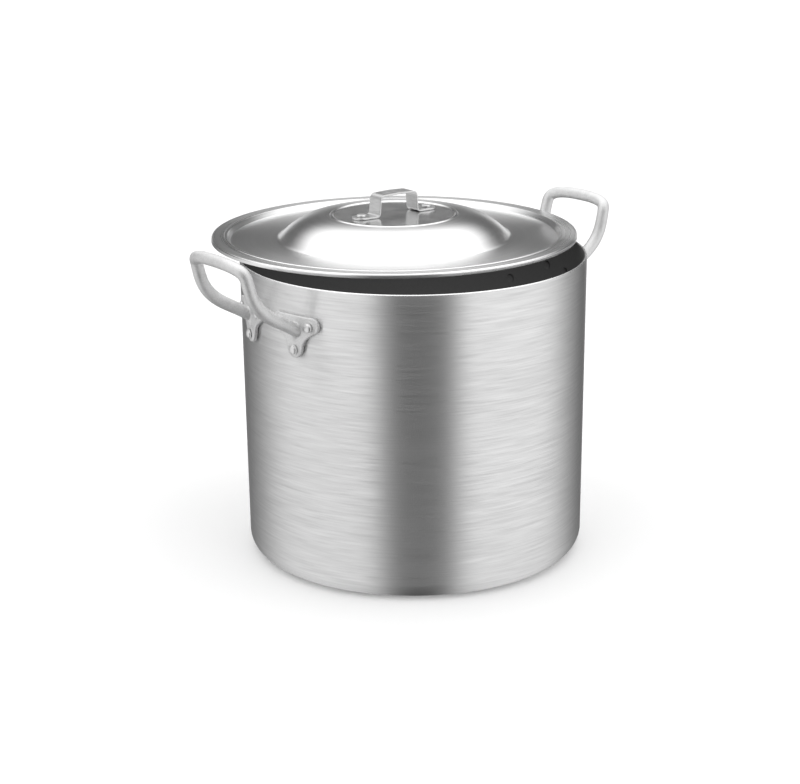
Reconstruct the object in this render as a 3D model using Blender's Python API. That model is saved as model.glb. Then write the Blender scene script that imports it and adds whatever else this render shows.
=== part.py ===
"""Aluminium stockpot with two riveted loop handles and a loose domed lid.

Frame: metres, +Z up, origin on the pot's axis at its underside, handles on -X and +X.
The lid is off centre: it lies level on the rim, slid towards +Y, so the pot stands ajar.
"""
import math

import bmesh
import bpy
from mathutils import Matrix, Vector

MM = 0.001
CLEARANCE = 0.3 * MM  # gap left between pieces that touch

# Pot: a deep drawn body with a slight taper and a half round rim edge.
RIM_RADIUS = 170 * MM
BASE_RADIUS = 168.3 * MM
POT_HEIGHT = 298 * MM
WALL = 2.5 * MM
FLOOR = 4 * MM
CORNER_RADIUS = 17 * MM
INNER_CORNER = CORNER_RADIUS - FLOOR
POT_SEGMENTS = 72

# Handle: a cast loop on two three-lobed feet. Heights are measured from the rim, down is minus.
GRIP_RADIUS = 6 * MM
LEG_REACH = 222.3 * MM  # pot axis to the top of each leg
LEG_OFFSET = 41.3 * MM  # handle's middle to the top of each leg
LOOP_BULGE = 7.6 * MM  # how much further out the middle of the grip is
LOOP_BASE = 16.7 * MM  # the arch of the loop stands on the legs here
LOOP_TOP = 27 * MM
LOOP_SQUARENESS = 2.7  # 2 is an ellipse, more is squarer
HANDLE_TURNS = (("right", math.radians(1.5)), ("left", math.pi))  # not quite opposite
LEG_CURVE = (
    (LEG_REACH, LEG_OFFSET, LOOP_BASE),
    (LEG_REACH, LEG_OFFSET, -22.5 * MM),
    (187.5 * MM, 42 * MM, -27 * MM),
    (168.6 * MM, 39 * MM, -42 * MM),
)
LEG_TAPER_START = 0.86  # share of the leg's curve where it starts to narrow into the foot
LEG_END_RADIUS = 3.2 * MM
TUBE_SIDES = 10
FOOT_OFFSET = 35.5 * MM  # handle's middle to a foot's middle, along the wall
FOOT_THICKNESS = 5 * MM
FOOT_CHAMFER = 1.2 * MM
FOOT_STRIP = 8 * MM  # the feet are faceted in strips this wide to follow the wall
FOOT_LOBE_OFFSET = 20.5 * MM  # upper lobes, from the foot's middle and from the rim
FOOT_LOBE_DEPTH = 35 * MM
FOOT_LOBE_RADIUS = 8 * MM
FOOT_TIP_DEPTH = 59 * MM
FOOT_TIP_RADIUS = 8.8 * MM
FOOT_WAIST_OFFSET = 11.5 * MM  # pull of the hollow sides between the lobes
FOOT_WAIST_DEPTH = 49 * MM

# Rivets, placed on a foot by their distance from its middle and their depth under the rim.
SHANK_RADIUS = 2.8 * MM
HEAD_RADIUS = 5 * MM
HEAD_HEIGHT = 2.6 * MM
TAIL_RADIUS = 4.5 * MM
TAIL_HEIGHT = 1.6 * MM
UPPER_RIVET_OFFSET = 17.5 * MM
UPPER_RIVET_DEPTH = 36.6 * MM
LOWER_RIVET_DEPTH = 59.7 * MM
RIVET_SEGMENTS = 12
HOLE_INSIDE = 10 * MM  # how far a hole's cutter reaches to each side of the sheet
HOLE_OUTSIDE = 12 * MM

# Lid: one pressed sheet. Heights are measured from the top of its flange.
LID_RADIUS = 185.2 * MM
LID_SHEET = 1.5 * MM
HEM_DEPTH = 4 * MM
HEM_BEND = 2 * MM
FLANGE_INNER = 169.3 * MM
FLANGE_BEND = (1.2 * MM, 0.6 * MM)  # width and drop of the round bend into the trough
TROUGH_OUTER = 165.8 * MM
TROUGH_DEPTH = 4.5 * MM
DOME_FOOT = 118 * MM
DOME_FULLNESS = 2.3  # power of the dome's curve: 1 is a cone, more is rounder
CREST_RADIUS = 65 * MM
CREST_HEIGHT = 19 * MM
DISC_RADIUS = 60 * MM
DISC_EDGE = 2 * MM  # width of the step from the disc up to the crest
DISC_HEIGHT = 18 * MM
LID_SEGMENTS = 72
LID_SHIFT = 70.9 * MM  # pot axis to lid axis
LID_SHIFT_ANGLE = math.radians(67)

# Lid handle: a bent strap with a rivet through each foot.
STRAP_TURN = math.radians(-2.6)
STRAP_HALF_WIDTH = 9.5 * MM
STRAP_THICKNESS = 1.8 * MM
STRAP_LEG_FOOT = 23.5 * MM
STRAP_LEG_TOP = 22 * MM
STRAP_SHOULDER = 21.4 * MM
STRAP_PEAK = 23 * MM
STRAP_CROWN_BEND = 60 * MM
STRAP_SHOULDER_BEND = 6 * MM
STRAP_FOOT_BEND = 4 * MM
STRAP_RIVET = 40.2 * MM  # also the middle of the strap's round ends
STRAP_HEAD_RADIUS = 4.8 * MM
STRAP_HEAD_HEIGHT = 2 * MM


def clear_scene():
    for item in list(bpy.data.objects):
        bpy.data.objects.remove(item, do_unlink=True)


def make_material(name, grey, roughness, metallic=1.0):
    material = bpy.data.materials.new(name)
    material.use_nodes = True
    shader = material.node_tree.nodes["Principled BSDF"]
    shader.inputs["Base Color"].default_value = (grey, grey, grey, 1.0)
    shader.inputs["Roughness"].default_value = roughness
    shader.inputs["Metallic"].default_value = metallic
    material.diffuse_color = (grey, grey, grey, 1.0)
    return material


def make_object(name, mesh, material=None, parent=None):
    item = bpy.data.objects.new(name, mesh)
    bpy.context.collection.objects.link(item)
    item.parent = parent
    if material is not None and not mesh.materials:
        mesh.materials.append(material)
    return item


def make_mesh(name, shape, sharp_angle=40):
    """Turn a bmesh into a mesh, shaded smooth but for its sharp edges."""
    bmesh.ops.recalc_face_normals(shape, faces=shape.faces)
    mesh = bpy.data.meshes.new(name)
    shape.to_mesh(mesh)
    shape.free()
    mesh.shade_smooth()
    mesh.set_sharp_from_angle(angle=math.radians(sharp_angle))
    return mesh


def hide_cutter(item):
    item.hide_render = True
    item.display_type = "WIRE"


def join_with(item, other, operation):
    modifier = item.modifiers.new(other.name, "BOOLEAN")
    modifier.operation = operation
    modifier.object = other
    modifier.solver = "EXACT"
    hide_cutter(other)


def arc(centre_x, centre_z, radius, start, end, steps, squash=1.0):
    """Points along an arc, angles in degrees, squash scales it along z."""
    points = []
    for step in range(steps + 1):
        angle = math.radians(start + (end - start) * step / steps)
        points.append((centre_x + radius * math.cos(angle), centre_z + squash * radius * math.sin(angle)))
    return points


def lathe(profile, segments):
    """Turn a profile of (radius, z), from axis to axis and bottom to top, about Z."""
    shape = bmesh.new()
    bottom = shape.verts.new((0, 0, profile[0][1]))
    top = shape.verts.new((0, 0, profile[-1][1]))
    rings = []
    for radius, z in profile[1:-1]:
        ring = []
        for index in range(segments):
            angle = 2 * math.pi * index / segments
            ring.append(shape.verts.new((radius * math.cos(angle), radius * math.sin(angle), z)))
        rings.append(ring)
    for index in range(segments):
        after = (index + 1) % segments
        shape.faces.new((bottom, rings[0][after], rings[0][index]))
        shape.faces.new((top, rings[-1][index], rings[-1][after]))
        for lower, upper in zip(rings, rings[1:]):
            shape.faces.new((lower[index], lower[after], upper[after], upper[index]))
    return shape


def sweep(rings):
    """Skin a list of rings of points into one closed tube with flat ends."""
    shape = bmesh.new()
    loops = [[shape.verts.new(point) for point in ring] for ring in rings]
    count = len(loops[0])
    for first, second in zip(loops, loops[1:]):
        for index in range(count):
            after = (index + 1) % count
            shape.faces.new((first[index], first[after], second[after], second[index]))
    shape.faces.new(loops[0])
    shape.faces.new(loops[-1])
    return shape


def bezier(points, share):
    """Point of a cubic Bezier curve through four control points."""
    rest = 1 - share
    weights = (rest ** 3, 3 * rest ** 2 * share, 3 * rest * share ** 2, share ** 3)
    return tuple(sum(w * p[axis] for w, p in zip(weights, points)) for axis in range(len(points[0])))


def wall_radius(z):
    """Outer radius of the pot's straight wall at a height."""
    share = (z - CORNER_RADIUS) / (POT_HEIGHT - CORNER_RADIUS)
    return BASE_RADIUS + (RIM_RADIUS - BASE_RADIUS) * share


def pot_profile():
    rim = WALL / 2
    inner_base = BASE_RADIUS - WALL - INNER_CORNER
    return (
        [(0, 0)]
        + arc(BASE_RADIUS - CORNER_RADIUS, CORNER_RADIUS, CORNER_RADIUS, -90, 0, 5)
        + arc(RIM_RADIUS - rim, POT_HEIGHT - rim, rim, 0, 180, 4)
        + arc(inner_base, FLOOR + INNER_CORNER, INNER_CORNER, 0, -90, 4)
        + [(0, FLOOR)]
    )


def rivet_profile(low, high, head_radius, head_height, tail_radius, tail_height):
    """Domed tail, shank and domed head; low and high are where the shank meets them."""
    tail = arc(0, low, tail_radius, -90, 0, 2, tail_height / tail_radius)
    head = arc(0, high, head_radius, 0, 90, 3, head_height / head_radius)
    return tail + [(SHANK_RADIUS, low), (SHANK_RADIUS, high)] + head


def handle_rivet_places():
    """(distance along the wall from the handle's middle, height) of a handle's six rivets."""
    places = {}
    for side_name, side in (("back", 1), ("front", -1)):
        upper = POT_HEIGHT - UPPER_RIVET_DEPTH
        lower = POT_HEIGHT - LOWER_RIVET_DEPTH
        places[side_name + "_inner"] = (side * (FOOT_OFFSET - UPPER_RIVET_OFFSET), upper)
        places[side_name + "_outer"] = (side * (FOOT_OFFSET + UPPER_RIVET_OFFSET), upper)
        places[side_name + "_lower"] = (side * FOOT_OFFSET, lower)
    return places


def foot_outline():
    """Outline of one foot as (distance from its middle, height): three lobes under a level top."""
    upper = POT_HEIGHT - FOOT_LOBE_DEPTH
    low = POT_HEIGHT - FOOT_TIP_DEPTH
    outer_lobe = arc(FOOT_LOBE_OFFSET, upper, FOOT_LOBE_RADIUS, 90, -45, 6)
    tip_lobe = arc(0, low, FOOT_TIP_RADIUS, -8, -172, 6)
    inner_lobe = arc(-FOOT_LOBE_OFFSET, upper, FOOT_LOBE_RADIUS, 225, 90, 6)
    return (
        outer_lobe
        + flank(outer_lobe[-1], tip_lobe[0], 1)
        + tip_lobe
        + flank(tip_lobe[-1], inner_lobe[0], -1)
        + inner_lobe
    )


def flank(start, end, side, steps=3):
    """Hollow side of a foot between two lobes, without its end points."""
    waist = (side * FOOT_WAIST_OFFSET, POT_HEIGHT - FOOT_WAIST_DEPTH)
    controls = (start, waist, waist, end)
    return [bezier(controls, step / (steps + 1)) for step in range(1, steps + 1)]


def foot_shape(side):
    """One foot, hugging the wall; side is +1 or -1 along Y."""
    shape = bmesh.new()
    face = shape.faces.new([shape.verts.new((s, z, 0)) for s, z in foot_outline()])
    grown = bmesh.ops.extrude_face_region(shape, geom=[face])["geom"]
    top = [part for part in grown if isinstance(part, bmesh.types.BMVert)]
    bmesh.ops.translate(shape, verts=top, vec=(0, 0, FOOT_THICKNESS))
    edges = [edge for edge in shape.edges if all(vert in top for vert in edge.verts)]
    bmesh.ops.bevel(shape, geom=edges, offset=FOOT_CHAMFER, segments=1, affect="EDGES")
    for strip in range(-4, 5):
        geometry = shape.verts[:] + shape.edges[:] + shape.faces[:]
        cut = (strip * FOOT_STRIP, 0, 0)
        bmesh.ops.bisect_plane(shape, geom=geometry, plane_co=cut, plane_no=(1, 0, 0))
    bmesh.ops.triangulate(shape, faces=shape.faces)
    for vert in shape.verts:
        s, z, out = vert.co
        vert.co = on_wall(side * (FOOT_OFFSET + s), z, CLEARANCE + out)
    return shape


def on_wall(along, z, out):
    """Point at a distance along the wall from +X, at a height, and this far out from the wall."""
    radius = wall_radius(z) + out
    angle = along / RIM_RADIUS
    return Vector((radius * math.cos(angle), radius * math.sin(angle), z))


def leg_radius(share):
    if share <= LEG_TAPER_START:
        return GRIP_RADIUS
    fade = (share - LEG_TAPER_START) / (1 - LEG_TAPER_START)
    return GRIP_RADIUS + (LEG_END_RADIUS - GRIP_RADIUS) * fade


def loop_path():
    """Centre line of the loop from the -Y foot to the +Y foot, as (point, radius)."""
    steps = 12
    leg = []
    for step in range(steps + 1):
        share = 1 - step / steps
        leg.append((Vector(bezier(LEG_CURVE, share)), leg_radius(share)))
    rim = Vector((0, 0, POT_HEIGHT))
    path = [(rim + point * Vector((1, -1, 1)), radius) for point, radius in leg]
    arch_steps = 16
    power = 2 / LOOP_SQUARENESS
    for step in range(1, arch_steps):
        angle = math.pi * (1 - step / arch_steps)
        along = math.copysign(abs(math.cos(angle)) ** power, math.cos(angle))
        rise = math.sin(angle) ** power
        reach = LEG_REACH + LOOP_BULGE * rise
        height = LOOP_BASE + (LOOP_TOP - LOOP_BASE) * rise
        path.append((rim + Vector((reach, LEG_OFFSET * along, height)), GRIP_RADIUS))
    path += [(rim + point, radius) for point, radius in reversed(leg)]
    return path


def loop_shape():
    """The round bar of the loop, its rings carried along the path without twist."""
    path = loop_path()
    rings = []
    side = Vector((0, 1, 0))
    for index, (point, radius) in enumerate(path):
        before = path[max(index - 1, 0)][0]
        after = path[min(index + 1, len(path) - 1)][0]
        tangent = (after - before).normalized()
        side = (side - tangent * side.dot(tangent)).normalized()
        other = tangent.cross(side)
        ring = []
        for corner in range(TUBE_SIDES):
            angle = 2 * math.pi * corner / TUBE_SIDES
            ring.append(point + radius * (math.cos(angle) * side + math.sin(angle) * other))
        rings.append(ring)
    return sweep(rings)


def hole_cutter(name, place, turn):
    """Hidden rod along a rivet's own z axis, as wide as its hole."""
    radius = SHANK_RADIUS + CLEARANCE
    profile = [(0, -HOLE_INSIDE), (radius, -HOLE_INSIDE), (radius, HOLE_OUTSIDE), (0, HOLE_OUTSIDE)]
    rod = make_object(name, make_mesh(name, lathe(profile, RIVET_SEGMENTS)))
    rod.location = place
    rod.rotation_euler = turn
    return rod


def radial_turn(angle):
    """Rotation that lays a rivet's z axis level, pointing out from the pot's axis."""
    return (0, math.pi / 2, angle)


def build_rivet_cutters():
    """Hidden rods for one handle's six rivet holes, at +X."""
    rods = []
    for name, (along, z) in handle_rivet_places().items():
        place = on_wall(along, z, 0)
        turn = radial_turn(along / RIM_RADIUS)
        rods.append(hole_cutter("hole_" + name, place, turn))
    return rods


def build_handle_mesh(rods):
    """Cast handle at +X as one mesh: loop and both feet in one body, drilled for its rivets."""
    rough = make_object("handle_rough", make_mesh("handle_rough", loop_shape()))
    for name, side in (("foot_back", 1), ("foot_front", -1)):
        join_with(rough, make_object(name, make_mesh(name, foot_shape(side))), "UNION")
    for rod in rods:
        join_with(rough, rod, "DIFFERENCE")
    bpy.context.view_layer.update()
    depsgraph = bpy.context.evaluated_depsgraph_get()
    finished = bpy.data.meshes.new_from_object(rough.evaluated_get(depsgraph))
    finished.name = "handle"
    bpy.data.objects.remove(rough, do_unlink=True)
    return finished


def build_handles(mesh, material):
    for side, turn in HANDLE_TURNS:
        handle = make_object("handle_" + side, mesh, material)
        handle.rotation_euler = (0, 0, turn)


def build_handle_rivets(material):
    low = -(WALL + CLEARANCE)
    high = FOOT_THICKNESS + 2 * CLEARANCE
    profile = rivet_profile(low, high, HEAD_RADIUS, HEAD_HEIGHT, TAIL_RADIUS, TAIL_HEIGHT)
    mesh = make_mesh("handle_rivet", lathe(profile, RIVET_SEGMENTS))
    for side, turn in HANDLE_TURNS:
        for name, (along, z) in handle_rivet_places().items():
            angle = along / RIM_RADIUS + turn
            rivet = make_object("rivet_" + side + "_" + name, mesh, material)
            rivet.location = (wall_radius(z) * math.cos(angle), wall_radius(z) * math.sin(angle), z)
            rivet.rotation_euler = radial_turn(angle)


def build_pot(material, rods):
    pot = make_object("pot_body", make_mesh("pot_body", lathe(pot_profile(), POT_SEGMENTS)), material)
    for side, turn in HANDLE_TURNS:
        for rod in rods:
            twin = make_object(rod.name + "_" + side, rod.data)
            twin.location = Matrix.Rotation(turn, 4, "Z") @ rod.location
            twin.rotation_euler = radial_turn(rod.rotation_euler.z + turn)
            join_with(pot, twin, "DIFFERENCE")
    return pot


def lid_upper_face():
    """Upper face of the lid's sheet from its axis out to the hem's lower edge."""
    steps = 5
    dome = []
    for step in range(steps + 1):
        share = step / steps
        radius = CREST_RADIUS + (DOME_FOOT - CREST_RADIUS) * share
        dome.append((radius, CREST_HEIGHT - (CREST_HEIGHT + TROUGH_DEPTH) * share ** DOME_FULLNESS))
    return (
        [(0, DISC_HEIGHT), (DISC_RADIUS, DISC_HEIGHT), (DISC_RADIUS + DISC_EDGE, CREST_HEIGHT)]
        + dome
        + [(TROUGH_OUTER, -TROUGH_DEPTH), (FLANGE_INNER - FLANGE_BEND[0], -FLANGE_BEND[1]), (FLANGE_INNER, 0)]
        + arc(LID_RADIUS - HEM_BEND, -HEM_BEND, HEM_BEND, 90, 0, 2)
        + [(LID_RADIUS, -HEM_DEPTH)]
    )


def under_face(line):
    """The sheet's lower face: each inner point moved down and in by the sheet's thickness."""
    lower = []
    for index, (radius, z) in enumerate(line):
        before = Vector(line[max(index - 1, 0)])
        after = Vector(line[min(index + 1, len(line) - 1)])
        run = (after - before).normalized()
        lower.append((max(radius + run.y * LID_SHEET, 0), z - run.x * LID_SHEET))
    return lower


def build_lid(material):
    upper = lid_upper_face()
    lower = under_face(upper)
    lower[0] = (0, DISC_HEIGHT - LID_SHEET)
    profile = lower + upper[::-1]
    lid = make_object("lid", make_mesh("lid", lathe(profile, LID_SEGMENTS)), material)
    rest = POT_HEIGHT + CLEARANCE + LID_SHEET + TROUGH_DEPTH
    shift_x = LID_SHIFT * math.cos(LID_SHIFT_ANGLE)
    shift_y = LID_SHIFT * math.sin(LID_SHIFT_ANGLE)
    lid.location = (shift_x, shift_y, rest)
    return lid


def rounded_path(corners):
    """Polyline of (x, z, bend radius) with its bends rounded."""
    path = [Vector(corners[0][:2])]
    for before, corner, after in zip(corners, corners[1:], corners[2:]):
        here = Vector(corner[:2])
        into = (here - Vector(before[:2])).normalized()
        away = (Vector(after[:2]) - here).normalized()
        turn = into.angle_signed(away)
        reach = corner[2] * math.tan(abs(turn) / 2)
        controls = (here - into * reach, here, here, here + away * reach)
        path += [Vector(bezier(controls, step / 4)) for step in range(5)]
    path.append(Vector(corners[-1][:2]))
    return path


def strap_path():
    """Middle line of the strap in its own x-z plane, z = 0 at its feet's underside."""
    half = STRAP_THICKNESS / 2
    right = [
        (0, STRAP_PEAK - half, STRAP_CROWN_BEND),
        (STRAP_LEG_TOP, STRAP_SHOULDER, STRAP_SHOULDER_BEND),
        (STRAP_LEG_FOOT, half, STRAP_FOOT_BEND),
        (STRAP_RIVET, half, 0),
    ]
    left = [(-x, z, radius) for x, z, radius in reversed(right[1:])]
    return rounded_path(left + right)


def strap_shape():
    """Bent strap, its ends drawn out to half circles."""
    middle = strap_path()
    round_steps = 6
    stations = [(point, STRAP_HALF_WIDTH) for point in middle]
    for step in range(1, round_steps):
        angle = math.pi / 2 * step / round_steps
        reach = STRAP_HALF_WIDTH * math.sin(angle)
        width = STRAP_HALF_WIDTH * math.cos(angle)
        stations.append((middle[-1] + Vector((reach, 0)), width))
        stations.insert(0, (middle[0] - Vector((reach, 0)), width))
    rings = []
    for index, (point, width) in enumerate(stations):
        before = stations[max(index - 1, 0)][0]
        after = stations[min(index + 1, len(stations) - 1)][0]
        run = (after - before).normalized()
        normal = Vector((-run.y, run.x)) * STRAP_THICKNESS / 2
        high = point + normal
        low = point - normal
        rings.append(
            [(high.x, -width, high.y), (high.x, width, high.y), (low.x, width, low.y), (low.x, -width, low.y)]
        )
    return sweep(rings)


def build_lid_handle(lid, material, rivet_material):
    strap = make_object("lid_handle", make_mesh("lid_handle", strap_shape()), material, lid)
    strap.location = (0, 0, DISC_HEIGHT + CLEARANCE)
    strap.rotation_euler = (0, 0, STRAP_TURN)
    low = -(LID_SHEET + 2 * CLEARANCE)
    high = STRAP_THICKNESS + CLEARANCE
    ends = (STRAP_HEAD_RADIUS, STRAP_HEAD_HEIGHT)
    mesh = make_mesh("lid_rivet", lathe(rivet_profile(low, high, *ends, *ends), RIVET_SEGMENTS))
    for name, turn in (("right", STRAP_TURN), ("left", STRAP_TURN + math.pi)):
        x = STRAP_RIVET * math.cos(turn)
        y = STRAP_RIVET * math.sin(turn)
        rivet = make_object("lid_rivet_" + name, mesh, rivet_material, lid)
        rivet.location = (x, y, DISC_HEIGHT + CLEARANCE)
        rod = hole_cutter("lid_hole_" + name, (x, y, DISC_HEIGHT), (0, 0, 0))
        rod.parent = lid
        join_with(lid, rod, "DIFFERENCE")
        join_with(strap, rod, "DIFFERENCE")


def main():
    clear_scene()
    brushed = make_material("brushed_aluminium", 0.80, 0.34)
    spun = make_material("spun_aluminium", 0.85, 0.22)
    cast = make_material("cast_aluminium", 0.62, 0.50)
    polished = make_material("polished_aluminium", 0.80, 0.25)
    rods = build_rivet_cutters()
    build_handles(build_handle_mesh(rods), cast)
    build_pot(brushed, rods)
    build_handle_rivets(polished)
    lid = build_lid(spun)
    build_lid_handle(lid, polished, polished)


main()
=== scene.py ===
"""Looks of the aluminium stockpot: brushed wall, dark lining, cast loops and a spun lid lying ajar."""
import math

import bmesh
import bpy
from mathutils import Matrix, Vector


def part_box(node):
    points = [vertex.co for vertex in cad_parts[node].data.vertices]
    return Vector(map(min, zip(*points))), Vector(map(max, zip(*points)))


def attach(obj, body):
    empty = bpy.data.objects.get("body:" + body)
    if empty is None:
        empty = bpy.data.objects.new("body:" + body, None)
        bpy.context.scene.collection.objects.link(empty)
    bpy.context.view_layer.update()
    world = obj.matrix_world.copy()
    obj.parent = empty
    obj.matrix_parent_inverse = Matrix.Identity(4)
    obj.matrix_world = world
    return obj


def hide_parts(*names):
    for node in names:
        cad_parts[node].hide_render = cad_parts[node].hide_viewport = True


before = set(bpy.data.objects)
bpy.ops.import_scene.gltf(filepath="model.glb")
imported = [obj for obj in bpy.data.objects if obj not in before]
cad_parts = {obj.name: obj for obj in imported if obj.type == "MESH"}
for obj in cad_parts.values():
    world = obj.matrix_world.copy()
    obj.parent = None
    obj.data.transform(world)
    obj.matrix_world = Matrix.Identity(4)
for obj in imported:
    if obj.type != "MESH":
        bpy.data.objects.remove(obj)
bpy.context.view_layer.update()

MM = 0.001
POT_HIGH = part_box("pot_body")[1]
LID_LOW, LID_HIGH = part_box("lid")
STRAP_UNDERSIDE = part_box("lid_handle")[0].z

# Camera: a long lens, looking down a little, slightly rolled.
CAMERA_PLACE = (-1.1062, -1.3857, 0.7084)
CAMERA_DOWN = math.radians(17.35)
CAMERA_HEADING = math.radians(-38.14)
CAMERA_ROLL = math.radians(-0.58)
CAMERA_LENS = 83.2
CAMERA_SENSOR = 36
FRONT = math.atan2(CAMERA_PLACE[1], CAMERA_PLACE[0])  # the camera's direction, seen from the pot

# Strength of the studio's panels, of the room between them and of the lamp inside the pot
SIDE_LIGHT = 1.04
LEFT_SHARE = 0.92  # of the right panel's strength
UNDER_SHARE = 0.3  # of the side panels' strength, straight below
TOP_LIGHT = 1.6
TOP_FRONT_SHARE = 0.6  # of the top panel's strength, above the camera
SWEEP_LIGHT = 0.8
ROOM_LIGHT = 0.12  # behind the pot
GAP_LIGHT = 0.05  # round the camera
SHADE_DEPTH = 0.6  # how much of the room's light the shade low behind the pot takes away
FILL_POWER = 0.75

# Where the studio's parts fade in and out, in degrees round from the camera
RIGHT_PANEL = (20, 40, 90, 155)
LEFT_PANEL = (12, 35, 85, 160)
TOP_FRONT = (15, 50)
BACK_CUT = (100, 130)
ROOM_FADE = (100, 150)
SWEEP_EDGE = (150, 162)
SHADE_EDGE = (168, 177)

# The same in height, which is 1 straight up, 0 at the horizon and -1 straight down
PANEL_FOOT = (-0.97, -0.85)
BACK_CUT_FOOT = (0, 0.2)
TOP_EDGE = (0.38, 0.72)
SWEEP_FOOT = (-0.24, -0.1)
SWEEP_HEAD = (0.03, 0.15)
SHADE_HEAD = (-0.06, 0.03)

GROUND_RADIUS = 14
NOISE_RANGE = (0.3, 0.7)  # most of a noise pattern lies between these values

# Pot
RIM_RADIUS = POT_HIGH.x
POT_HEIGHT = POT_HIGH.z
BASE_RADIUS = RIM_RADIUS - 1.7 * MM
WALL = 2.5 * MM
BASE_SHEET = 4 * MM
CORNER_RADIUS = 17 * MM
POT_STEP = 12 * MM  # longest step along the pot's profile
POT_SEGMENTS = 256

# Cast handle, heights measured from the rim
GRIP_RADIUS = 5.9 * MM
LEG_REACH = 222.3 * MM
LEG_OFFSET = 41.3 * MM
LOOP_BULGE = 7.4 * MM
LOOP_BASE = 16.7 * MM
LOOP_TOP = 27 * MM
LOOP_SQUARENESS = 2.7
LOOP_SOFTENING = 16  # passes that round the loop's corners
LEG_CURVE = (
    (LEG_REACH, LEG_OFFSET, LOOP_BASE),
    (LEG_REACH, LEG_OFFSET, -22.5 * MM),
    (187.5 * MM, 42 * MM, -27 * MM),
    (170 * MM, 39.2 * MM, -41 * MM),
)
LEG_SWELL = 0.04  # how much thicker a leg is halfway down, as a share of its radius
TUBE_CAPS = ((60, 0.5), (30, 0.87))  # degrees round a tube's end, and the share of its radius there
RIGHT_HANDLE_TURN = math.radians(1.5)
FOOT_OFFSET = 35.5 * MM
FOOT_GAP = 0.3 * MM
FOOT_THICKNESS = 3.9 * MM
FOOT_LOBE = (20.5 * MM, -35 * MM, 8 * MM)  # middle and radius of an upper lobe
FOOT_TIP = (0, -59 * MM, 8.8 * MM)  # middle and radius of the lower lobe
FOOT_WAIST = (11.5 * MM, -49 * MM)  # draws the outline in between them
FOOT_STRIP = 2.5 * MM  # the foot is cut into strips this wide, which follow the wall
BOSS_START = 1 * MM
BOSS_HEIGHT = 4.6 * MM
BOSS_EDGE = 0.5 * MM
BOSS_RADIUS = 6.6 * MM
UPPER_RIVET = (17.5 * MM, -36.6 * MM)  # distance from the foot's middle, height
LOWER_RIVET = (0, -59.7 * MM)
RIB_START = (2 * MM, -44 * MM, 3.5 * MM, 3.4 * MM)  # the same, then distance from the wall and radius
RIB_END = (0, -52 * MM, 2.2 * MM, 2.2 * MM)
CASTING_GRAIN = 0.8 * MM  # size of the voxels that melt the casting's parts together

# Rivets; a head and a tail have a radius and a height
RIVET_HEAD = (5 * MM, 2.6 * MM)
RIVET_TAIL = (4.5 * MM, 1.6 * MM)
RIVET_COLLAR = 0.5 * MM  # under the head's dome
RIVET_CHAMFER = 0.25 * MM
RIVET_DOME = 0.86  # the dome's radius, as a share of the head's
RIVET_STACK = 5.6 * MM  # from the wall to under the head
SHANK_RADIUS = 2.8 * MM

# Lid, heights measured from the top of its flange
LID_RADIUS = (LID_HIGH.x - LID_LOW.x) / 2
LID_SHEET = 1.5 * MM
CREST_HEIGHT = 19 * MM  # top of the bright bead round the disc
BEAD_RADIUS = 63.4 * MM
BEAD_BEND = 2.2 * MM
CREST_RADIUS = 66.4 * MM  # the dome falls away from here
DOME_HEIGHT = 18.4 * MM
DISC_RADIUS = 61.2 * MM
DISC_HEIGHT = 18 * MM
DISC_BEND = 0.8 * MM
DOME_FOOT = 118 * MM
DOME_BEND = 5 * MM
DOME_FULLNESS = 2.3
DOME_STEPS = 22
TROUGH_DEPTH = 4.5 * MM
TROUGH_OUTER = 165.8 * MM
FLANGE_INNER = 169.1 * MM
RIDGE_HEIGHT = 0.45 * MM  # small raised ring along the flange's inner edge
RIDGE_OUTER = 171.8 * MM
RIDGE_SLOPE = 0.6 * MM
STEP_BEND = 0.5 * MM
HEM_DEPTH = 4 * MM
HEM_BEND = 2 * MM
LID_STEP = 5 * MM  # longest step along the lid's profile
LID_SEGMENTS = 256
LID_PLACE = Vector(((LID_LOW.x + LID_HIGH.x) / 2, (LID_LOW.y + LID_HIGH.y) / 2, LID_HIGH.z - CREST_HEIGHT))

# Lid handle, heights measured from the underside of its feet
STRAP_TURN = math.radians(-2.6)
STRAP_HALF_WIDTH = 9.5 * MM
STRAP_THICKNESS = 1.8 * MM
STRAP_LEG_FOOT = 23.5 * MM
STRAP_LEG_TOP = 22 * MM
STRAP_SHOULDER = 21.4 * MM
STRAP_PEAK = 23 * MM
STRAP_RIVET = 40.2 * MM
STRAP_EDGE = 0.35 * MM
PEAK_BEND = 60 * MM
SHOULDER_BEND = 5 * MM
ANKLE_BEND = 4 * MM
PAN_HEAD = (4.8 * MM, 2 * MM)
PAN_EDGE = 0.7 * MM
PAN_DIP = 0.02 * MM  # a pan head dips this much halfway across


# ---------------------------------------------------------------- node helpers


def add_node(tree, kind, inputs=None, **settings):
    """New node with its settings and inputs; an input is a value or another node's socket."""
    node = tree.nodes.new(kind)
    for name, value in settings.items():
        setattr(node, name, value)
    for name, value in (inputs or {}).items():
        if isinstance(value, bpy.types.NodeSocket):
            tree.links.new(value, node.inputs[name])
        else:
            node.inputs[name].default_value = value
    return node


def maths(tree, operation, first, second=0.0):
    """Result of a sum on one or two values."""
    return add_node(tree, "ShaderNodeMath", {0: first, 1: second}, operation=operation).outputs[0]


def multiply(tree, first, second):
    return maths(tree, "MULTIPLY", first, second)


def add(tree, first, second):
    return maths(tree, "ADD", first, second)


def blend(tree, first, second, share):
    """Mix of two patterns, with this share of the first one."""
    return add(tree, multiply(tree, first, share), multiply(tree, second, 1 - share))


def ramp_value(tree, value, low, high, out_low, out_high, smooth=True):
    """Value that goes from out_low to out_high while the given one goes from low to high."""
    kind = "SMOOTHSTEP" if smooth else "LINEAR"
    inputs = {"Value": value, "From Min": low, "From Max": high, "To Min": out_low, "To Max": out_high}
    return add_node(tree, "ShaderNodeMapRange", inputs, interpolation_type=kind).outputs["Result"]


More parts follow.
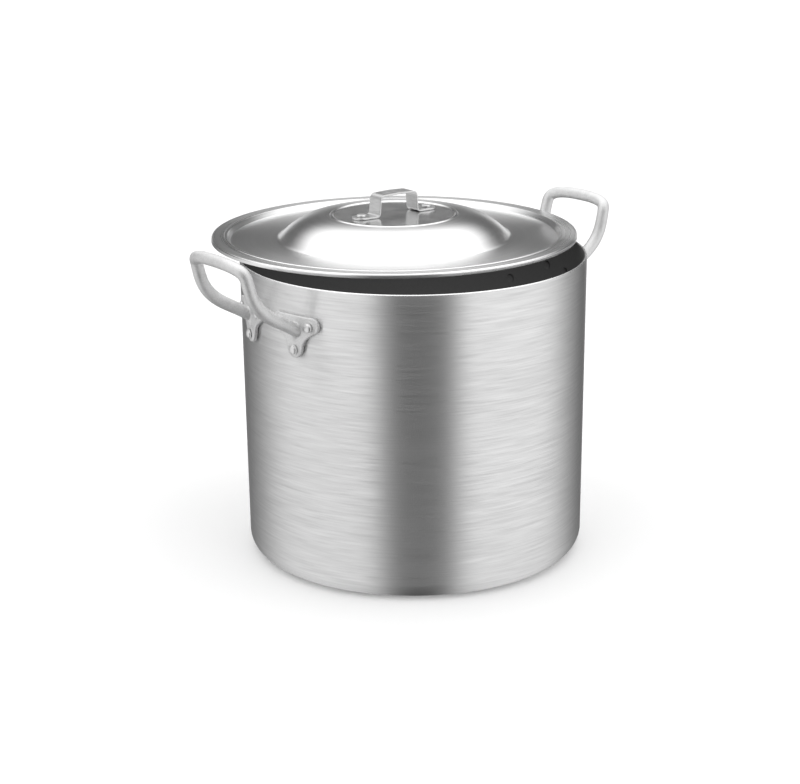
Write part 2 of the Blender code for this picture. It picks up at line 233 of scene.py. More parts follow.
def spread(tree, pattern, out_low, out_high):
    """Noise pattern spread evenly over a range."""
    return ramp_value(tree, pattern, *NOISE_RANGE, out_low, out_high, False)


def noise(tree, vector, scale, detail=2.0, roughness=0.5):
    """Noise from 0 to 1 on a vector that is stretched by scale along each axis."""
    stretched = add_node(tree, "ShaderNodeVectorMath", {0: vector, 1: scale}, operation="MULTIPLY")
    inputs = {"Vector": stretched.outputs[0], "Scale": 1.0, "Detail": detail, "Roughness": roughness}
    return add_node(tree, "ShaderNodeTexNoise", inputs).outputs[0]


def grey(tree, value):
    """Colour with the same value in each channel."""
    return add_node(tree, "ShaderNodeCombineColor", {0: value, 1: value, 2: value}).outputs[0]


def start_material(name, metallic, tone, roughness):
    """New grey material with its node tree, its shader and the object's own coordinates."""
    material = bpy.data.materials.new(name)
    material.use_nodes = True
    tree = material.node_tree
    shader = tree.nodes["Principled BSDF"]
    shader.inputs["Metallic"].default_value = metallic
    shader.inputs["Base Color"].default_value = (tone, tone, tone, 1)
    shader.inputs["Roughness"].default_value = roughness
    material.diffuse_color = (tone, tone, tone, 1)
    here = add_node(tree, "ShaderNodeTexCoord").outputs["Object"]
    return material, tree, shader, here


def plug(tree, shader, tone, roughness=None, height=None, bump=0.1, depth=0.1 * MM):
    """Link a pattern's tone, roughness and height to a Principled shader."""
    tree.links.new(grey(tree, tone), shader.inputs["Base Color"])
    if roughness is not None:
        tree.links.new(roughness, shader.inputs["Roughness"])
    if height is not None:
        inputs = {"Height": height, "Strength": bump, "Distance": depth}
        tree.links.new(add_node(tree, "ShaderNodeBump", inputs).outputs[0], shader.inputs["Normal"])


def stretch_highlights(shader, anisotropy):
    """Draw highlights out across the brushed or turned lines."""
    shader.inputs["Anisotropic"].default_value = anisotropy
    shader.inputs["Anisotropic Rotation"].default_value = 0.25


# ---------------------------------------------------------------- materials


def brushed_metal():
    """Wall brushed in level lines: long thin streaks, a little softer towards the base."""
    material, tree, shader, here = start_material("brushed_aluminium", 1.0, 0.8, 0.45)
    fine = noise(tree, here, (20, 20, 1100), 3, 0.6)
    coarse = noise(tree, here, (26, 26, 480))
    cloud = noise(tree, here, (9, 9, 5))
    streaks = blend(tree, fine, coarse, 0.55)
    tone = add(tree, spread(tree, streaks, 0.75, 0.83), multiply(tree, cloud, 0.02))
    level = add_node(tree, "ShaderNodeSeparateXYZ", {0: here}).outputs[2]
    wear = ramp_value(tree, level, 0, POT_HEIGHT, 0.06, -0.01, False)
    roughness = add(tree, spread(tree, streaks, 0.55, 0.35), wear)
    plug(tree, shader, tone, roughness, fine, 0.12)
    stretch_highlights(shader, 0.95)
    return material


def ring_coordinates(tree, here):
    """Distance from the object's z axis, and a vector with that as its x, for turned patterns."""
    flat = add_node(tree, "ShaderNodeVectorMath", {0: here, 1: (1, 1, 0)}, operation="MULTIPLY").outputs[0]
    radius = add_node(tree, "ShaderNodeVectorMath", {0: flat}, operation="LENGTH").outputs["Value"]
    parts = add_node(tree, "ShaderNodeSeparateXYZ", {0: here})
    inputs = {0: radius, 1: parts.outputs[0], 2: parts.outputs[1]}
    return radius, add_node(tree, "ShaderNodeCombineXYZ", inputs).outputs[0]


def spun_metal():
    """Lid turned on a lathe: fine rings, deepest on its flange."""
    material, tree, shader, here = start_material("spun_aluminium", 1.0, 0.86, 0.28)
    radius, turned = ring_coordinates(tree, here)
    fine = noise(tree, turned, (1500, 9, 9), 3, 0.6)
    coarse = noise(tree, turned, (420, 5, 5))
    rings = blend(tree, fine, coarse, 0.5)
    flange = ramp_value(tree, radius, 163 * MM, 169 * MM, 0, 1)
    depth = add(tree, multiply(tree, flange, 0.7), 0.3)
    swing = multiply(tree, maths(tree, "SUBTRACT", rings, 0.5), depth)
    tone = add(tree, multiply(tree, swing, 0.5), 0.86)
    roughness = add(tree, multiply(tree, swing, 0.25), 0.29)
    plug(tree, shader, tone, roughness, multiply(tree, rings, depth), 0.2)
    stretch_highlights(shader, 0.8)
    return material


def disc_metal():
    """Polished disc under the strap, with faint turned rings."""
    material, tree, shader, here = start_material("disc_aluminium", 1.0, 0.86, 0.24)
    rings = noise(tree, ring_coordinates(tree, here)[1], (900, 12, 12))
    cloud = noise(tree, here, (60, 60, 60))
    tone = spread(tree, rings, 0.82, 0.90)
    plug(tree, shader, tone, spread(tree, cloud, 0.21, 0.27), rings, 0.06, 0.05 * MM)
    return material


def cast_metal():
    """Tumbled casting: fine grain, soft mottling, darker in its pores."""
    material, tree, shader, here = start_material("cast_aluminium", 1.0, 0.78, 0.6)
    grain = noise(tree, here, (1100, 1100, 1100), 3, 0.65)
    mottle = noise(tree, here, (160, 160, 160), 3, 0.6)
    wave = noise(tree, here, (45, 45, 45))
    tone = add(tree, spread(tree, grain, 0.71, 0.85), spread(tree, mottle, -0.05, 0.05))
    height = add(tree, multiply(tree, grain, 0.35), mottle)
    height = add(tree, height, multiply(tree, wave, 1.6))
    plug(tree, shader, tone, spread(tree, mottle, 0.54, 0.70), height, 0.5, 0.4 * MM)
    return material


def strap_metal():
    """Sheet strap with a short grain across its width."""
    material, tree, shader, here = start_material("strap_aluminium", 1.0, 0.62, 0.36)
    grain = noise(tree, here, (900, 120, 900), 2, 0.6)
    mottle = noise(tree, here, (150, 150, 150))
    plug(tree, shader, spread(tree, grain, 0.56, 0.68), spread(tree, mottle, 0.30, 0.42), grain, 0.25)
    return material


def scuffed_metal(name, base_roughness, scale, tones, roughnesses):
    """Polished metal with fine scuffs, between two tones and two roughnesses."""
    material, tree, shader, here = start_material(name, 1.0, sum(tones) / 2, base_roughness)
    scuff = noise(tree, here, (scale, scale, scale), 3, 0.6)
    plug(tree, shader, spread(tree, scuff, *tones), spread(tree, scuff, *roughnesses), scuff, 0.15)
    return material


def bright_metal():
    """The pot's trimmed rim, polished and lightly scuffed."""
    return scuffed_metal("polished_aluminium", 0.25, 500, (0.80, 0.92), (0.22, 0.34))


def rivet_metal():
    """Softly worn rivet heads."""
    return scuffed_metal("rivet_aluminium", 0.4, 700, (0.70, 0.82), (0.36, 0.48))


def dark_lining():
    """Dark coating on the inside, with a fine speckle and a soft sheen."""
    material, tree, shader, here = start_material("dark_lining", 0.0, 0.08, 0.5)
    speckle = noise(tree, here, (1400, 1400, 1400), 2, 0.6)
    cloud = noise(tree, here, (14, 14, 14))
    plug(tree, shader, spread(tree, speckle, 0.068, 0.092), spread(tree, cloud, 0.46, 0.58), speckle, 0.2)
    return material


# ---------------------------------------------------------------- mesh helpers


def make_object(name, mesh, materials, place=(0, 0, 0)):
    """Object in the scene; a mesh that several objects share gets its materials once."""
    item = bpy.data.objects.new(name, mesh)
    bpy.context.collection.objects.link(item)
    item.location = place
    if not mesh.materials:
        for material in materials:
            mesh.materials.append(material)
    return item


def make_mesh(name, shape, sharp_angle=40):
    """Mesh from a bmesh, smooth but for its sharp edges."""
    bmesh.ops.recalc_face_normals(shape, faces=shape.faces)
    mesh = bpy.data.meshes.new(name)
    shape.to_mesh(mesh)
    shape.free()
    mesh.shade_smooth()
    mesh.set_sharp_from_angle(angle=math.radians(sharp_angle))
    return mesh


def arc(centre_x, centre_z, radius, start, end, steps, squash=1.0):
    """Points along an arc between two angles in degrees; squash flattens it in height."""
    points = []
    for step in range(steps + 1):
        angle = math.radians(start + (end - start) * step / steps)
        points.append((centre_x + radius * math.cos(angle), centre_z + squash * radius * math.sin(angle)))
    return points


def divide(points, longest):
    """The same polyline with no step longer than this, so that fine shading stays even."""
    dense = [points[0]]
    for start, end in zip(points, points[1:]):
        steps = max(1, math.ceil(math.dist(start, end) / longest))
        for step in range(1, steps + 1):
            share = step / steps
            dense.append((start[0] + (end[0] - start[0]) * share, start[1] + (end[1] - start[1]) * share))
    return dense


def lathe(profile, segments, pick):
    """Closed solid of revolution; pick(n) is the material index of the band that starts at point n."""
    shape = bmesh.new()
    bottom = shape.verts.new((0, 0, profile[0][1]))
    top = shape.verts.new((0, 0, profile[-1][1]))
    rings = []
    for radius, z in profile[1:-1]:
        ring = []
        for index in range(segments):
            angle = 2 * math.pi * index / segments
            ring.append(shape.verts.new((radius * math.cos(angle), radius * math.sin(angle), z)))
        rings.append(ring)
    for index in range(segments):
        after = (index + 1) % segments
        low_cap = shape.faces.new((bottom, rings[0][after], rings[0][index]))
        low_cap.material_index = pick(0)
        high_cap = shape.faces.new((top, rings[-1][index], rings[-1][after]))
        high_cap.material_index = pick(len(rings))
    for row, (lower, upper) in enumerate(zip(rings, rings[1:]), 1):
        for index in range(segments):
            after = (index + 1) % segments
            face = shape.faces.new((lower[index], lower[after], upper[after], upper[index]))
            face.material_index = pick(row)
    return shape


def bezier(points, share):
    """Point on a cubic curve between the first and the last of its four points."""
    rest = 1 - share
    weights = (rest ** 3, 3 * rest ** 2 * share, 3 * rest * share ** 2, share ** 3)
    return tuple(sum(w * p[axis] for w, p in zip(weights, points)) for axis in range(len(points[0])))


def rounded_path(corners, steps=8):
    """Polyline of (x, z, bend radius) with its bends rounded."""
    pull = 0.56  # makes a cubic curve nearly a quarter circle
    path = [Vector(corners[0][:2])]
    for before, corner, after in zip(corners, corners[1:], corners[2:]):
        here = Vector(corner[:2])
        if corner[2] <= 0:
            path.append(here)
            continue
        into = (here - Vector(before[:2])).normalized()
        away = (Vector(after[:2]) - here).normalized()
        reach = corner[2] * math.tan(abs(into.angle_signed(away)) / 2)
        start = here - into * reach
        end = here + away * reach
        controls = (start, start.lerp(here, pull), end.lerp(here, pull), end)
        path += [Vector(bezier(controls, step / steps)) for step in range(steps + 1)]
    path.append(Vector(corners[-1][:2]))
    return path


def add_ring(shape, middle, radius, side, other, sides):
    """Round ring of vertices in the plane of two directions."""
    ring = []
    for corner in range(sides):
        angle = 2 * math.pi * corner / sides
        ring.append(shape.verts.new(middle + radius * (math.cos(angle) * side + math.sin(angle) * other)))
    return ring


def add_skin(shape, rings):
    """Bands of faces from ring to ring, and a face over each end."""
    count = len(rings[0])
    for lower, upper in zip(rings, rings[1:]):
        for index in range(count):
            after = (index + 1) % count
            shape.faces.new((lower[index], lower[after], upper[after], upper[index]))
    shape.faces.new(rings[0])
    shape.faces.new(rings[-1])


def add_tube(shape, path, sides):
    """Closed round tube along (point, radius) stations, its ends rounded off."""
    first_point, first_radius = path[0]
    last_point, last_radius = path[-1]
    first = (path[1][0] - first_point).normalized() * first_radius
    last = (last_point - path[-2][0]).normalized() * last_radius
    start = []
    end = []
    for turn, share in TUBE_CAPS:
        start.append((first_point - first * math.sin(math.radians(turn)), first_radius * share))
        end.insert(0, (last_point + last * math.sin(math.radians(turn)), last_radius * share))
    stations = start + path + end
    side = Vector((0, 1, 0))
    rings = []
    for index, (point, radius) in enumerate(stations):
        back = stations[max(index - 1, 0)][0]
        ahead = stations[min(index + 1, len(stations) - 1)][0]
        tangent = (ahead - back).normalized()
        side = (side - tangent * side.dot(tangent)).normalized()
        rings.append(add_ring(shape, point, radius, side, tangent.cross(side), sides))
    add_skin(shape, rings)


# ---------------------------------------------------------------- pot


def wall_radius(z):
    """Outer radius of the slightly tapered wall at a height."""
    share = (z - CORNER_RADIUS) / (POT_HEIGHT - CORNER_RADIUS)
    return BASE_RADIUS + (RIM_RADIUS - BASE_RADIUS) * share


def on_wall(along, z, out):
    """Point at a distance along the wall from +X, at a height, and this far out from the wall."""
    radius = wall_radius(z) + out
    angle = along / RIM_RADIUS
    return Vector((radius * math.cos(angle), radius * math.sin(angle), z))


def build_pot(brushed, bright, lining):
    """Pot in one sheet: brushed outside, bright round edge, dark inside."""
    lip = WALL / 2
    inner = CORNER_RADIUS - BASE_SHEET
    inner_middle = BASE_RADIUS - WALL - inner
    base = [(0, 0)] + arc(BASE_RADIUS - CORNER_RADIUS, CORNER_RADIUS, CORNER_RADIUS, -90, 0, 20)
    outside = divide(base + [(RIM_RADIUS, POT_HEIGHT - lip)], POT_STEP)
    rim = arc(RIM_RADIUS - lip, POT_HEIGHT - lip, lip, 0, 180, 12)[1:]
    bottom = arc(inner_middle, BASE_SHEET + inner, inner, 0, -90, 14)
    inside = divide([rim[-1]] + bottom + [(0, BASE_SHEET)], POT_STEP)[1:]
    rim_start = len(outside)
    rim_end = rim_start + len(rim) - 3  # the lining reaches up to the rim's edge

    def pick(row):
        if row < rim_start:
            return 0
        return 1 if row < rim_end else 2

    mesh = make_mesh("pot_body_look", lathe(outside + rim + inside, POT_SEGMENTS, pick), 60)
    return make_object("pot_body_look", mesh, (brushed, bright, lining))


# ---------------------------------------------------------------- cast handles


def leg_radius(share):
    """Leg's radius: it swells a little at the bend."""
    return GRIP_RADIUS * (1 + LEG_SWELL * math.sin(math.pi * share))


def loop_path():
    """Stations of the loop from one foot up, over the arched grip and down to the other foot."""
    leg_steps = 30
    arch_steps = 44
    shares = [1 - step / leg_steps for step in range(leg_steps + 1)]
    leg = [(Vector(bezier(LEG_CURVE, share)), leg_radius(share)) for share in shares]
    rim = Vector((0, 0, POT_HEIGHT))
    path = [(rim + point * Vector((1, -1, 1)), radius) for point, radius in leg]
    power = 2 / LOOP_SQUARENESS
    for step in range(1, arch_steps):
        angle = math.pi * (1 - step / arch_steps)
        along = math.copysign(abs(math.cos(angle)) ** power, math.cos(angle))
        rise = math.sin(angle) ** power
        height = LOOP_BASE + (LOOP_TOP - LOOP_BASE) * rise
        point = Vector((LEG_REACH + LOOP_BULGE * rise, LEG_OFFSET * along, height))
        path.append((rim + point, GRIP_RADIUS))
    path += [(rim + point, radius) for point, radius in reversed(leg)]
    for _ in range(LOOP_SOFTENING):
        middle = [((a[0] + 2 * b[0] + c[0]) / 4, b[1]) for a, b, c in zip(path, path[1:], path[2:])]
        path = [path[0]] + middle + [path[-1]]
    return path


def flank(start, end, steps=8):
    """Hollow side of the foot, between an upper lobe and the lower one."""
    curve = (start, FOOT_WAIST, FOOT_WAIST, end)
    return [bezier(curve, step / (steps + 1)) for step in range(1, steps + 1)]


def foot_outline():
    """Outline of one foot as (distance from its middle, height from the rim): three lobes."""
    outer = arc(*FOOT_LOBE, 90, -45, 12)
    tip = arc(*FOOT_TIP, -8, -172, 16)
    right = flank(outer[-1], tip[0])
    mirror = [(-s, z) for s, z in reversed(outer)]
    left = [(-s, z) for s, z in reversed(right)]
    return outer + right + tip + left + mirror


def add_plate(shape, side):
    """Foot plate that hugs the wall."""
    plate = bmesh.new()
    face = plate.faces.new([plate.verts.new((s, z, 0)) for s, z in foot_outline()])
    grown = bmesh.ops.extrude_face_region(plate, geom=[face])["geom"]
    top = [part for part in grown if isinstance(part, bmesh.types.BMVert)]
    bmesh.ops.translate(plate, verts=top, vec=(0, 0, FOOT_THICKNESS))
    strips = int((FOOT_LOBE[0] + FOOT_LOBE[2]) / FOOT_STRIP)
    for strip in range(-strips, strips + 1):
        geometry = plate.verts[:] + plate.edges[:] + plate.faces[:]
        bmesh.ops.bisect_plane(plate, geom=geometry, plane_co=(strip * FOOT_STRIP, 0, 0), plane_no=(1, 0, 0))
    bmesh.ops.triangulate(plate, faces=plate.faces)
    bmesh.ops.recalc_face_normals(plate, faces=plate.faces)
    lookup = {}
    for vert in plate.verts:
        s, z, out = vert.co
        lookup[vert] = shape.verts.new(on_wall(side * (FOOT_OFFSET + s), POT_HEIGHT + z, FOOT_GAP + out))
    for face in plate.faces:
        corners = [lookup[vert] for vert in face.verts]
        shape.faces.new(corners if side > 0 else corners[::-1])
    plate.free()


def add_boss(shape, side, place, sides=28):
    """Round boss under a rivet's head, its edge a little broken."""
    along = side * (FOOT_OFFSET + place[0])
    z = POT_HEIGHT + place[1]
    low = on_wall(along, z, FOOT_GAP + BOSS_START)
    high = on_wall(along, z, FOOT_GAP + BOSS_HEIGHT)
    axis = (high - low).normalized()
    across = axis.cross(Vector((0, 0, 1))).normalized()
    other = axis.cross(across)
    stations = (
        (low, BOSS_RADIUS),
        (on_wall(along, z, FOOT_GAP + BOSS_HEIGHT - BOSS_EDGE), BOSS_RADIUS * 0.97),
        (high, BOSS_RADIUS * 0.9),
    )
    add_skin(shape, [add_ring(shape, point, radius, across, other, sides) for point, radius in stations])


def add_rib(shape, side, start, end, steps=8):
    """Tapered rib on a foot; each end is (distance from its middle, height, out, radius)."""
    path = []
    for step in range(steps + 1):
        s, z, out, radius = (a + (b - a) * step / steps for a, b in zip(start, end))
        path.append((on_wall(side * (FOOT_OFFSET + s), POT_HEIGHT + z, out), radius))
    add_tube(shape, path, 14)


def casting_mesh():
    """One handle at +X, its parts melted into one casting with soft fillets."""
    shape = bmesh.new()
    add_tube(shape, loop_path(), 24)
    for side in (1, -1):
        add_plate(shape, side)
        for place in (UPPER_RIVET, (-UPPER_RIVET[0], UPPER_RIVET[1]), LOWER_RIVET):
            add_boss(shape, side, place)
        add_rib(shape, side, RIB_START, RIB_END)
    bmesh.ops.recalc_face_normals(shape, faces=shape.faces)
    mesh = bpy.data.meshes.new("casting_rough")
    shape.to_mesh(mesh)
    shape.free()
    rough = bpy.data.objects.new("casting_rough", mesh)
    bpy.context.collection.objects.link(rough)
    melt = rough.modifiers.new("melt", "REMESH")
    melt.mode = "VOXEL"
    melt.voxel_size = CASTING_GRAIN
    soften = rough.modifiers.new("soften", "SMOOTH")
    soften.factor = 0.5
    soften.iterations = 4
    depsgraph = bpy.context.evaluated_depsgraph_get()
    finished = bpy.data.meshes.new_from_object(rough.evaluated_get(depsgraph))
    bpy.data.objects.remove(rough, do_unlink=True)
    finished.name = "cast_handle_look"
    finished.shade_smooth()
    return finished


def build_handles(cast):
    """Both handles: the same casting, turned about the pot's axis."""
    mesh = casting_mesh()
    pieces = {}
    for node, turn in (("handle_right", RIGHT_HANDLE_TURN), ("handle_left", math.pi)):
        turned = mesh.copy()
        turned.name = node + "_look"
        turned.transform(Matrix.Rotation(turn, 4, "Z"))
        pieces[node] = make_object(node + "_look", turned, (cast,))
    bpy.data.meshes.remove(mesh)
    return pieces


# ---------------------------------------------------------------- rivets


def domed_head(head, low):
    """Profile of a domed head on a short collar."""
    radius, height = head
    dome = radius * RIVET_DOME
    collar = low + RIVET_COLLAR
    profile = [(radius, low), (radius, low + RIVET_COLLAR * 0.6), (radius - RIVET_CHAMFER, collar)]
    return profile + arc(0, collar, dome, 4, 90, 10, (height - RIVET_COLLAR) / dome)


def pan_head(head, low):
    """Profile of a flat head with a round edge."""
    radius, height = head
    edge = arc(radius - PAN_EDGE, low + height - PAN_EDGE, PAN_EDGE, 0, 90, 6)
    return [(radius, low)] + edge + [(radius * 0.5, low + height - PAN_DIP), (0, low + height)]


def rivet_mesh(name, low, high, tail, head_profile):
    """Rivet along z: domed tail below low, shank, and a head above high."""
    tail_part = arc(0, low, tail[0], -90, 0, 8, tail[1] / tail[0])
    profile = tail_part + [(SHANK_RADIUS, low), (SHANK_RADIUS, high)] + head_profile

    def pick(row):
        return 1 if row < len(tail_part) else 0

    return make_mesh(name, lathe(profile, 32, pick), 50)


def build_rivets(rivet, lining):
    """Handle rivets, each one where the frame has it; their tails are coated like the pot's inside."""
    pieces = {}
    head = domed_head(RIVET_HEAD, RIVET_STACK)
    mesh = rivet_mesh("handle_rivet_look", -WALL - FOOT_GAP, RIVET_STACK, RIVET_TAIL, head)
    for node in sorted(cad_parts):
        if node.startswith("rivet_"):
            low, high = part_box(node)
            middle = (low + high) / 2
            angle = math.atan2(middle.y, middle.x)
            radius = wall_radius(middle.z)
            place = (radius * math.cos(angle), radius * math.sin(angle), middle.z)
            item = make_object(node + "_look", mesh, (rivet, lining), place)
            item.rotation_euler = (0, math.pi / 2, angle)
            pieces[node] = item
    return pieces


# ---------------------------------------------------------------- lid


def lid_upper_face():
    """Upper face of the lid's sheet from its axis out to the hem's lower edge."""
    corners = [(0, DISC_HEIGHT, 0), (DISC_RADIUS, DISC_HEIGHT, DISC_BEND)]
    bead = arc(BEAD_RADIUS, CREST_HEIGHT - BEAD_BEND, BEAD_BEND, 140, 40, 10)
    corners += [(radius, z, 0) for radius, z in bead]
    for step in range(DOME_STEPS - 2):
        share = step / DOME_STEPS
        radius = CREST_RADIUS + (DOME_FOOT - CREST_RADIUS) * share
        corners.append((radius, DOME_HEIGHT - (DOME_HEIGHT + TROUGH_DEPTH) * share ** DOME_FULLNESS, 0))
    corners += [
        (DOME_FOOT, -TROUGH_DEPTH, DOME_BEND),
        (TROUGH_OUTER, -TROUGH_DEPTH, STEP_BEND),
        (FLANGE_INNER, RIDGE_HEIGHT, STEP_BEND),
        (RIDGE_OUTER, RIDGE_HEIGHT, STEP_BEND),
        (RIDGE_OUTER + RIDGE_SLOPE, 0, STEP_BEND),
        (LID_RADIUS, 0, HEM_BEND),
        (LID_RADIUS, -HEM_DEPTH, 0),
    ]
    return divide([tuple(point) for point in rounded_path(corners)], LID_STEP)


def under_face(line):
    """The sheet's lower face, moved down and in by the sheet's thickness."""
    lower = []
    for index, (radius, z) in enumerate(line):
        before = Vector(line[max(index - 1, 0)])
        after = Vector(line[min(index + 1, len(line) - 1)])
        run = (after - before).normalized()
        lower.append((max(radius + run.y * LID_SHEET, 0), z - run.x * LID_SHEET))
    lower[0] = (0, line[0][1] - LID_SHEET)
    return lower


def build_lid(spun, disc):
    """Lid in one sheet; only the upper face of its middle has the disc's material."""
    upper = lid_upper_face()
    lower = under_face(upper)
    profile = lower + upper[::-1]

    def pick(row):
        radius = (profile[row][0] + profile[min(row + 1, len(profile) - 1)][0]) / 2
        return 1 if row > len(lower) and radius < DISC_RADIUS else 0

    mesh = make_mesh("lid_look", lathe(profile, LID_SEGMENTS, pick), 50)
    return make_object("lid_look", mesh, (spun, disc), LID_PLACE)


def strap_path():
    """Middle line of the strap's sheet from rivet to rivet, as (x, z)."""
    half = STRAP_THICKNESS / 2
    right = [
        (0, STRAP_PEAK - half, PEAK_BEND),
        (STRAP_LEG_TOP, STRAP_SHOULDER, SHOULDER_BEND),
        (STRAP_LEG_FOOT, half, ANKLE_BEND),
        (STRAP_RIVET, half, 0),
    ]
    left = [(-x, z, bend) for x, z, bend in reversed(right[1:])]
    return rounded_path(left + right, 10)


def strap_section(point, normal, width):
    """Corners of the strap's cross section, its edges broken."""
    half = STRAP_THICKNESS / 2
    edge = min(STRAP_EDGE, width * 0.4)
    corners = []
    for across, up in ((1, 1), (1, -1), (-1, -1), (-1, 1)):
        first = (across * width, up * (half - edge))
        second = (across * (width - edge), up * half)
        pair = (second, first) if across * up > 0 else (first, second)
        for y, lift in pair:
            corners.append((point.x + normal.x * lift, y, point.y + normal.y * lift))
    return corners


def strap_mesh():
    """Bent strap with softened edges, its ends drawn out to half circles."""
    middle = strap_path()
    round_steps = 12
    stations = [(point, STRAP_HALF_WIDTH) for point in middle]
    for step in range(1, round_steps):
        angle = math.pi / 2 * step / round_steps
        reach = Vector((STRAP_HALF_WIDTH * math.sin(angle), 0))
        width = STRAP_HALF_WIDTH * math.cos(angle)
        stations.append((middle[-1] + reach, width))
        stations.insert(0, (middle[0] - reach, width))
    shape = bmesh.new()
    rings = []
    for index, (point, width) in enumerate(stations):
        before = stations[max(index - 1, 0)][0]
        after = stations[min(index + 1, len(stations) - 1)][0]
        run = (after - before).normalized()
        normal = Vector((-run.y, run.x))
        rings.append([shape.verts.new(corner) for corner in strap_section(point, normal, width)])
    add_skin(shape, rings)
    return make_mesh("lid_handle_look", shape, 30)


def build_lid_handle(strap, rivet):
    """Strap and its two rivets, which share one mesh."""
    foot = Vector((LID_PLACE.x, LID_PLACE.y, STRAP_UNDERSIDE))
    item = make_object("lid_handle_look", strap_mesh(), (strap,), foot)
    item.rotation_euler = (0, 0, STRAP_TURN)
    pieces = {"lid_handle": item}
    low = -(LID_SHEET + 2 * FOOT_GAP)
    high = STRAP_THICKNESS + FOOT_GAP
    mesh = rivet_mesh("lid_rivet_look", low, high, PAN_HEAD, pan_head(PAN_HEAD, high))
    for node in ("lid_rivet_left", "lid_rivet_right"):
        box_low, box_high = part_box(node)
        middle = (box_low + box_high) / 2
        pieces[node] = make_object(node + "_look", mesh, (rivet, rivet), (middle.x, middle.y, foot.z))
    return pieces


# ---------------------------------------------------------------- studio


def build_camera():
    """Camera, turned by its heading, tilted down and rolled about its own axis."""
    camera = bpy.data.objects.new("camera", bpy.data.cameras.new("camera"))
    bpy.context.collection.objects.link(camera)
    camera.data.lens = CAMERA_LENS
    camera.data.sensor_width = CAMERA_SENSOR
    camera.data.clip_start = 0.05
    camera.data.clip_end = 100
    heading = Matrix.Rotation(CAMERA_HEADING, 4, "Z")
    tilt = Matrix.Rotation(math.pi / 2 - CAMERA_DOWN, 4, "X")
    roll = Matrix.Rotation(CAMERA_ROLL, 4, "Z")
    camera.matrix_world = Matrix.Translation(CAMERA_PLACE) @ heading @ tilt @ roll
    bpy.context.scene.camera = camera


def build_fill_light():
    """Small soft lamp inside the pot, so that its lining shows under the lid."""
    lamp = bpy.data.lights.new("inside_fill", "POINT")
    lamp.energy = FILL_POWER
    lamp.shadow_soft_size = 0.05
    item = bpy.data.objects.new("inside_fill", lamp)
    bpy.context.collection.objects.link(item)
    item.location = (0, 0, POT_HEIGHT * 0.5)
    item.visible_camera = False
    item.visible_glossy = False


def build_floor():
    """Pale round floor, which the metal doesn't reflect."""
    shape = bmesh.new()
    bmesh.ops.create_circle(shape, cap_ends=True, segments=96, radius=GROUND_RADIUS)
    mesh = make_mesh("floor", shape)
    material, tree, shader, here = start_material("pale_floor", 0.0, 0.9, 0.9)
    plug(tree, shader, spread(tree, noise(tree, here, (300, 300, 300)), 0.89, 0.91))
    shader.inputs["Emission Color"].default_value = (1, 1, 1, 1)
    shader.inputs["Emission Strength"].default_value = 0.1
    shader.inputs["Specular IOR Level"].default_value = 0.1
    floor = make_object("floor", mesh, (material,))
    floor.visible_glossy = False


def fade_round(tree, angle, edges, before=0, after=1):
    """Fade between two angles in degrees."""
    return ramp_value(tree, angle, math.radians(edges[0]), math.radians(edges[1]), before, after)


def fade_up(tree, height, edges, before=0, after=1):
    """Fade between two heights."""
    return ramp_value(tree, height, *edges, before, after)


def without(tree, light, part):
    """Light with a part of the studio, which is 1 inside and 0 outside, taken out of it."""
    return multiply(tree, light, maths(tree, "SUBTRACT", 1.0, part))


def side_panel(tree, around, edges):
    """Panel from floor to ceiling that fades in over its first two angles and out over the others."""
    start = fade_round(tree, around, edges[:2])
    return multiply(tree, start, fade_round(tree, around, edges[2:], 1, 0))


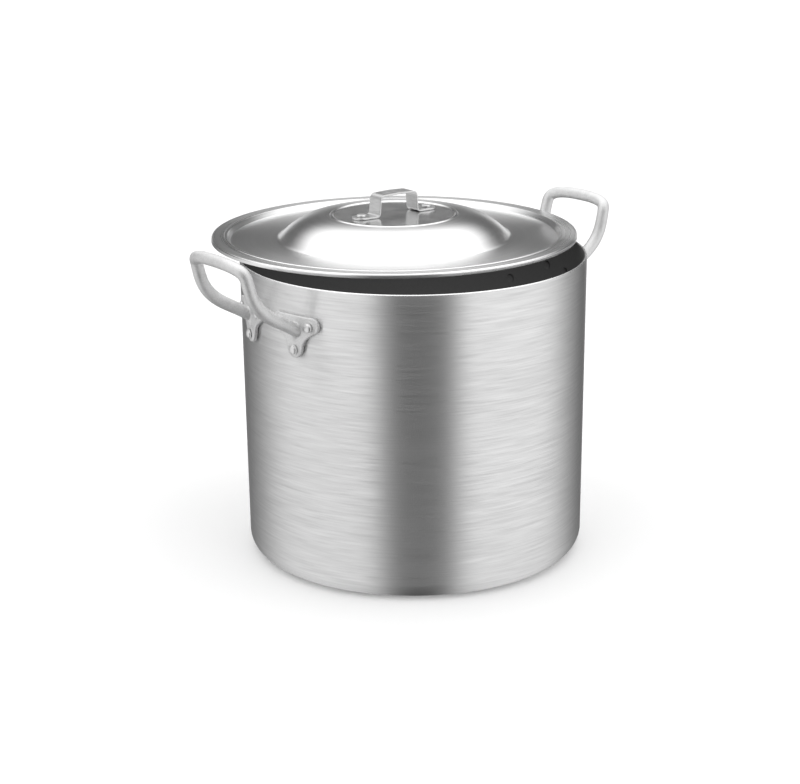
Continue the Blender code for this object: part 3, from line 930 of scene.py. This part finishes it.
def studio_light(tree, around, height):
    """Light from a direction, given by its angle from the camera's direction and its height."""
    behind = maths(tree, "ABSOLUTE", around)
    left = side_panel(tree, multiply(tree, around, -1.0), LEFT_PANEL)
    sides = add(tree, side_panel(tree, around, RIGHT_PANEL), multiply(tree, left, LEFT_SHARE))
    sides = multiply(tree, sides, fade_up(tree, height, PANEL_FOOT, UNDER_SHARE, 1))
    # High up behind the pot the side panels are cut off, which darkens the lid's flat parts.
    upper_back = multiply(tree, fade_round(tree, behind, BACK_CUT), fade_up(tree, height, BACK_CUT_FOOT))
    sides = without(tree, sides, upper_back)
    # The sweep is a lit band low behind the pot, and the shade is a dark patch in the middle of it.
    shade = multiply(tree, fade_round(tree, behind, SHADE_EDGE), fade_up(tree, height, SHADE_HEAD, 1, 0))
    sweep = multiply(tree, fade_round(tree, behind, SWEEP_EDGE), fade_up(tree, height, SWEEP_HEAD, 1, 0))
    sweep = without(tree, multiply(tree, sweep, fade_up(tree, height, SWEEP_FOOT)), shade)
    room = fade_round(tree, behind, ROOM_FADE, GAP_LIGHT, ROOM_LIGHT)
    room = without(tree, room, multiply(tree, shade, SHADE_DEPTH))
    top = multiply(tree, fade_up(tree, height, TOP_EDGE), TOP_LIGHT)
    top = multiply(tree, top, fade_round(tree, behind, TOP_FRONT, TOP_FRONT_SHARE, 1))
    light = maths(tree, "MAXIMUM", multiply(tree, sides, SIDE_LIGHT), top)
    light = maths(tree, "MAXIMUM", light, multiply(tree, sweep, SWEEP_LIGHT))
    return add(tree, light, room)


def build_world():
    """White studio: a tall soft panel on each side, one overhead, a low lit sweep behind, dim gaps."""
    world = bpy.data.worlds.new("studio")
    bpy.context.scene.world = world
    world.use_nodes = True
    tree = world.node_tree
    tree.nodes.clear()
    here = add_node(tree, "ShaderNodeTexCoord").outputs["Generated"]
    inputs = {"Vector": here, "Angle": -FRONT}
    turned = add_node(tree, "ShaderNodeVectorRotate", inputs, rotation_type="Z_AXIS").outputs[0]
    parts = add_node(tree, "ShaderNodeSeparateXYZ", {0: turned})
    around = maths(tree, "ARCTAN2", parts.outputs[1], parts.outputs[0])
    light = studio_light(tree, around, parts.outputs[2])
    seen = add_node(tree, "ShaderNodeLightPath").outputs["Is Camera Ray"]
    backdrop = add_node(tree, "ShaderNodeBackground", {"Color": (1, 1, 1, 1), "Strength": 1.0})
    studio = add_node(tree, "ShaderNodeBackground", {"Color": (1, 1, 1, 1), "Strength": light})
    mix = add_node(tree, "ShaderNodeMixShader", {0: seen, 1: studio.outputs[0], 2: backdrop.outputs[0]})
    output = add_node(tree, "ShaderNodeOutputWorld", {"Surface": mix.outputs[0]})
    output.is_active_output = True


def main():
    """Studio, materials and pieces; each piece rides its body in place of its solid."""
    build_camera()
    build_world()
    build_fill_light()
    build_floor()
    bpy.context.scene.view_settings.view_transform = "Standard"
    rivet = rivet_metal()
    lining = dark_lining()
    pot = {"pot_body": build_pot(brushed_metal(), bright_metal(), lining)}
    pot.update(build_handles(cast_metal()))
    pot.update(build_rivets(rivet, lining))
    lid = {"lid": build_lid(spun_metal(), disc_metal())}
    lid.update(build_lid_handle(strap_metal(), rivet))
    for body, pieces in (("pot", pot), ("lid", lid)):
        for node, piece in pieces.items():
            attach(piece, body)
            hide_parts(node)


main()
bpy.context.view_layer.update()
